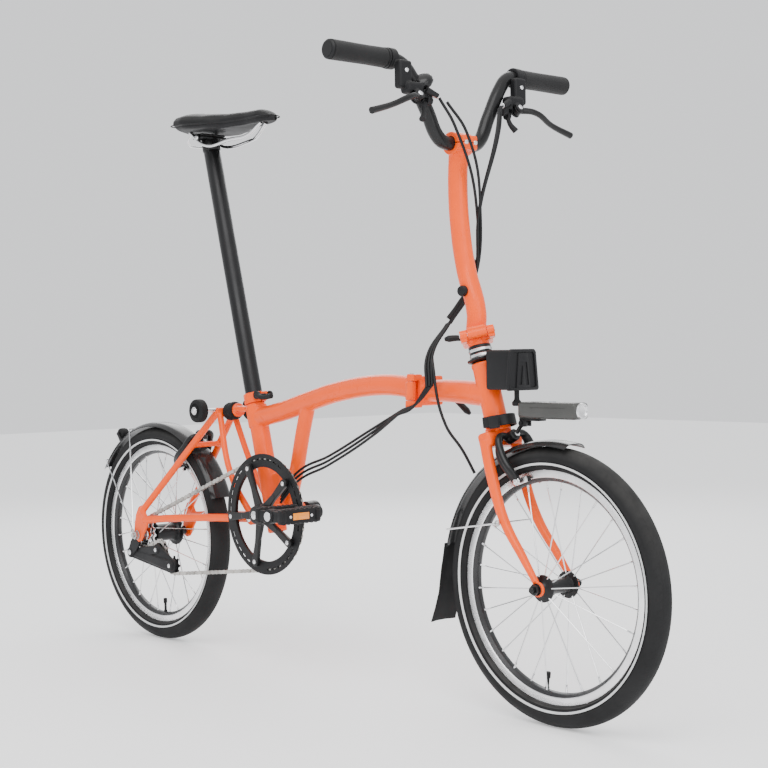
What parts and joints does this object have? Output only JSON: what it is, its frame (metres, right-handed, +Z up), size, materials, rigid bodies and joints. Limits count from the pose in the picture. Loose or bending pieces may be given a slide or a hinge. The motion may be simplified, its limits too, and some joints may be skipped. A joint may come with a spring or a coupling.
{
  "type": "folding_bicycle",
  "caption": "Small-wheeled folding bicycle: hinged main frame, swinging rear frame with suspension block, folding stem, sliding seat pillar and folding left pedal, with lamp and luggage block.",
  "frame": {"origin": "on the ground halfway between the two axles, at the middle of the base of the bounding box", "axes": "+X the way it rides, along the longest side; +Y the rider's left, along the shortest side; +Z up"},
  "size_m": [1.469, 0.535, 1.0394],
  "materials": {
    "orange_paint": "gloss",
    "black_paint": "satin",
    "black_plastic": "matte",
    "mudguard_plastic": "semi-gloss",
    "pedal_plastic": "matte",
    "saddle_cover": "satin",
    "tyre_rubber": "matte",
    "grip_rubber": "matte",
    "roller_rubber": "matte",
    "suspension_rubber": "matte",
    "cable_sheath": "satin",
    "machined_aluminium": "machined",
    "zinc_steel": "satin",
    "chain_steel": "oiled",
    "headlight_plastic": "satin"
  },
  "bodies": {
    "main_frame": {"bottom_bracket": "zinc_steel", "main_frame": "orange_paint", "main_hinge_clamp": "zinc_steel", "rear_cables": "cable_sheath", "seat_clamp": "orange_paint"},
    "seat": {"saddle": "saddle_cover", "saddle_clamp": "black_paint", "seat_pillar": "black_paint"},
    "seat_lever": {"seat_clamp_lever": "black_plastic"},
    "fold_lever": {"main_hinge_lever": "black_plastic"},
    "crank": {"chainring": "black_paint", "left_crank": "black_paint", "right_crank": "black_paint"},
    "right_pedal": {"right_pedal": "pedal_plastic"},
    "left_pedal_fold": {"left_pedal_hinge": "zinc_steel"},
    "left_pedal": {"left_pedal": "pedal_plastic"},
    "rear_frame": {"chain": "chain_steel", "rear_axle": "zinc_steel", "rear_frame": "orange_paint", "rear_mudguard": "mudguard_plastic", "suspension_block": "suspension_rubber"},
    "rear_wheel": {"rear_hub": "black_paint", "rear_rim": "machined_aluminium", "rear_tyre": "tyre_rubber"},
    "sprocket": {"sprocket": "chain_steel"},
    "tensioner": {"tensioner_arm": "black_plastic"},
    "guide_wheel": {"guide_wheel": "black_plastic"},
    "idler_wheel": {"idler_wheel": "black_plastic"},
    "right_roller": {"right_roller": "roller_rubber"},
    "left_roller": {"left_roller": "roller_rubber"},
    "mudguard_roller": {"mudguard_roller": "roller_rubber"},
    "front_frame": {"front_cables": "cable_sheath", "front_frame": "orange_paint", "luggage_block": "black_plastic"},
    "luggage_latch": {"luggage_latch": "zinc_steel"},
    "fork": {"fork": "orange_paint", "front_axle": "zinc_steel", "front_mudguard": "mudguard_plastic", "steering_cables": "cable_sheath", "stem_base": "orange_paint"},
    "front_wheel": {"front_hub": "black_paint", "front_rim": "machined_aluminium", "front_tyre": "tyre_rubber"},
    "headlight": {"headlight": "headlight_plastic"},
    "stem": {"handlebar": "black_paint", "handlebar_cables": "cable_sheath", "left_controls": "black_plastic", "left_grip": "grip_rubber", "right_controls": "black_plastic", "right_grip": "grip_rubber", "stem": "orange_paint"},
    "stem_lever": {"stem_hinge_lever": "black_plastic"},
    "rear_caliper_left": {"rear_caliper_left": "black_paint"},
    "rear_caliper_right": {"rear_caliper_right": "black_paint"},
    "front_caliper_left": {"front_caliper_left": "black_paint"},
    "front_caliper_right": {"front_caliper_right": "black_paint"},
    "left_brake_lever": {"left_brake_lever": "black_paint"},
    "left_shifter": {"left_shifter": "black_plastic"},
    "right_brake_lever": {"right_brake_lever": "black_paint"},
    "right_shifter": {"right_shifter": "black_plastic"}
  },
  "joints": [
    {"name": "seat_slide", "type": "slide", "parent": "main_frame", "child": "seat", "axis": [-0.2538, 0, 0.9673], "range_m": [-0.39, 0]},
    {"name": "seat_lever_turn", "type": "hinge", "parent": "main_frame", "child": "seat_lever", "pos_m": [-0.188, 0, 0.493], "axis": [0, -1, 0], "range_deg": [0, 95]},
    {"name": "fold_lever_turn", "type": "hinge", "parent": "main_frame", "child": "fold_lever", "pos_m": [0.242, 0.041, 0.5055], "axis": [0, 1, 0], "range_deg": [0, 170]},
    {"name": "main_fold", "type": "hinge", "parent": "main_frame", "child": "front_frame", "pos_m": [0.242, -0.031, 0.5055], "axis": [0, 0.0872, 0.9962], "range_deg": [-125, 0], "deforming": ["front_cables"]},
    {"name": "rear_fold", "type": "hinge", "parent": "main_frame", "child": "rear_frame", "pos_m": [-0.1875, 0, 0.266], "axis": [0, -1, 0], "range_deg": [0, 125], "deforming": ["rear_cables"]},
    {"name": "steering", "type": "hinge", "parent": "front_frame", "child": "fork", "pos_m": [0.391, 0, 0.5005], "axis": [-0.284, 0, 0.9588], "range_deg": [-75, 75], "deforming": ["steering_cables"]},
    {"name": "stem_fold", "type": "hinge", "parent": "fork", "child": "stem", "pos_m": [0.3819, -0.01909, 0.59845], "axis": [0.678, 0.7071, 0.2008], "range_deg": [0, 150], "deforming": ["handlebar_cables"]},
    {"name": "stem_lever_turn", "type": "hinge", "parent": "fork", "child": "stem_lever", "pos_m": [0.34508, 0.0193, 0.58754], "axis": [0.678, -0.7071, 0.2008], "range_deg": [0, 170]},
    {"name": "front_wheel_spin", "type": "hinge", "parent": "fork", "child": "front_wheel", "pos_m": [0.5225, 0, 0.212], "axis": [0, 1, 0], "continuous": true},
    {"name": "rear_wheel_spin", "type": "hinge", "parent": "rear_frame", "child": "rear_wheel", "pos_m": [-0.5225, 0, 0.212], "axis": [0, 1, 0], "continuous": true},
    {"name": "crank_spin", "type": "hinge", "parent": "main_frame", "child": "crank", "pos_m": [-0.1265, 0, 0.28], "axis": [0, 1, 0], "continuous": true},
    {"name": "sprocket_spin", "type": "hinge", "parent": "rear_frame", "child": "sprocket", "pos_m": [-0.5225, 0, 0.212], "axis": [0, 1, 0], "continuous": true},
    {"name": "tensioner_swing", "type": "hinge", "parent": "rear_frame", "child": "tensioner", "pos_m": [-0.5505, 0, 0.175], "axis": [0, 1, 0], "range_deg": [-8, 12], "stiffness_Nm_per_rad": 0.6, "deforming": ["chain"]},
    {"name": "guide_wheel_spin", "type": "hinge", "parent": "tensioner", "child": "guide_wheel", "pos_m": [-0.4645, 0, 0.187], "axis": [0, 1, 0], "continuous": true},
    {"name": "idler_wheel_spin", "type": "hinge", "parent": "tensioner", "child": "idler_wheel", "pos_m": [-0.4185, 0, 0.16], "axis": [0, 1, 0], "continuous": true},
    {"name": "right_pedal_spin", "type": "hinge", "parent": "crank", "child": "right_pedal", "pos_m": [0.04257, -0.08, 0.29777], "axis": [0, 1, 0], "continuous": true},
    {"name": "left_pedal_fold_swing", "type": "hinge", "parent": "crank", "child": "left_pedal_fold", "pos_m": [-0.29557, 0.094, 0.26223], "axis": [0.9945, 0, 0.1045], "range_deg": [0, 90]},
    {"name": "left_pedal_spin", "type": "hinge", "parent": "left_pedal_fold", "child": "left_pedal", "pos_m": [-0.29557, 0.08, 0.26223], "axis": [0, 1, 0], "continuous": true},
    {"name": "right_roller_spin", "type": "hinge", "parent": "rear_frame", "child": "right_roller", "pos_m": [-0.3065, 0, 0.463], "axis": [0, 1, 0], "continuous": true},
    {"name": "left_roller_spin", "type": "hinge", "parent": "rear_frame", "child": "left_roller", "pos_m": [-0.3065, 0, 0.463], "axis": [0, 1, 0], "continuous": true},
    {"name": "mudguard_roller_spin", "type": "hinge", "parent": "rear_frame", "child": "mudguard_roller", "pos_m": [-0.66327, 0, 0.40576], "axis": [0, 1, 0], "continuous": true},
    {"name": "luggage_latch_slide", "type": "slide", "parent": "front_frame", "child": "luggage_latch", "axis": [0, 0, 1], "range_m": [0, 0.003], "stiffness_N_per_m": 600},
    {"name": "headlight_tilt", "type": "hinge", "parent": "fork", "child": "headlight", "pos_m": [0.4625, 0, 0.458], "axis": [0, 1, 0], "range_deg": [-10, 10]},
    {"name": "left_brake_lever_pull", "type": "hinge", "parent": "stem", "child": "left_brake_lever", "pos_m": [0.3515, 0.113, 0.9625], "axis": [0.853, 0, 0.5219], "range_deg": [0, 22], "stiffness_Nm_per_rad": 0.6},
    {"name": "left_shifter_push", "type": "hinge", "parent": "stem", "child": "left_shifter", "pos_m": [0.3455, 0.092, 0.9525], "axis": [0, 1, 0], "range_deg": [0, 15], "stiffness_Nm_per_rad": 0.3},
    {"name": "right_brake_lever_pull", "type": "hinge", "parent": "stem", "child": "right_brake_lever", "pos_m": [0.3515, -0.113, 0.9625], "axis": [-0.853, 0, -0.5219], "range_deg": [0, 22], "stiffness_Nm_per_rad": 0.6},
    {"name": "right_shifter_push", "type": "hinge", "parent": "stem", "child": "right_shifter", "pos_m": [0.3455, -0.092, 0.9525], "axis": [0, 1, 0], "range_deg": [0, 15], "stiffness_Nm_per_rad": 0.3},
    {"name": "rear_caliper_left_close", "type": "hinge", "parent": "rear_frame", "child": "rear_caliper_left", "pos_m": [-0.38726, 0, 0.41051], "axis": [-0.766, 0, 0.6428], "range_deg": [0, 0.95]},
    {"name": "rear_caliper_right_close", "type": "hinge", "parent": "rear_frame", "child": "rear_caliper_right", "pos_m": [-0.38726, 0, 0.41051], "axis": [0.766, 0, -0.6428], "range_deg": [0, 0.95]},
    {"name": "front_caliper_left_close", "type": "hinge", "parent": "fork", "child": "front_caliper_left", "pos_m": [0.43616, 0, 0.43615], "axis": [-0.8926, 0, -0.4509], "range_deg": [0, 0.95]},
    {"name": "front_caliper_right_close", "type": "hinge", "parent": "fork", "child": "front_caliper_right", "pos_m": [0.43616, 0, 0.43615], "axis": [0.8926, 0, 0.4509], "range_deg": [0, 0.95]}
  ],
  "couplings": [
    {"joint": "sprocket_spin", "follows": "crank_spin", "ratio": 3.8113},
    {"joint": "guide_wheel_spin", "follows": "crank_spin", "ratio": -6.1212},
    {"joint": "idler_wheel_spin", "follows": "crank_spin", "ratio": 6.1212},
    {"joint": "rear_caliper_left_close", "follows": "left_brake_lever_pull", "ratio": 0.042},
    {"joint": "rear_caliper_right_close", "follows": "left_brake_lever_pull", "ratio": 0.042},
    {"joint": "front_caliper_left_close", "follows": "right_brake_lever_pull", "ratio": 0.042},
    {"joint": "front_caliper_right_close", "follows": "right_brake_lever_pull", "ratio": 0.042}
  ]
}
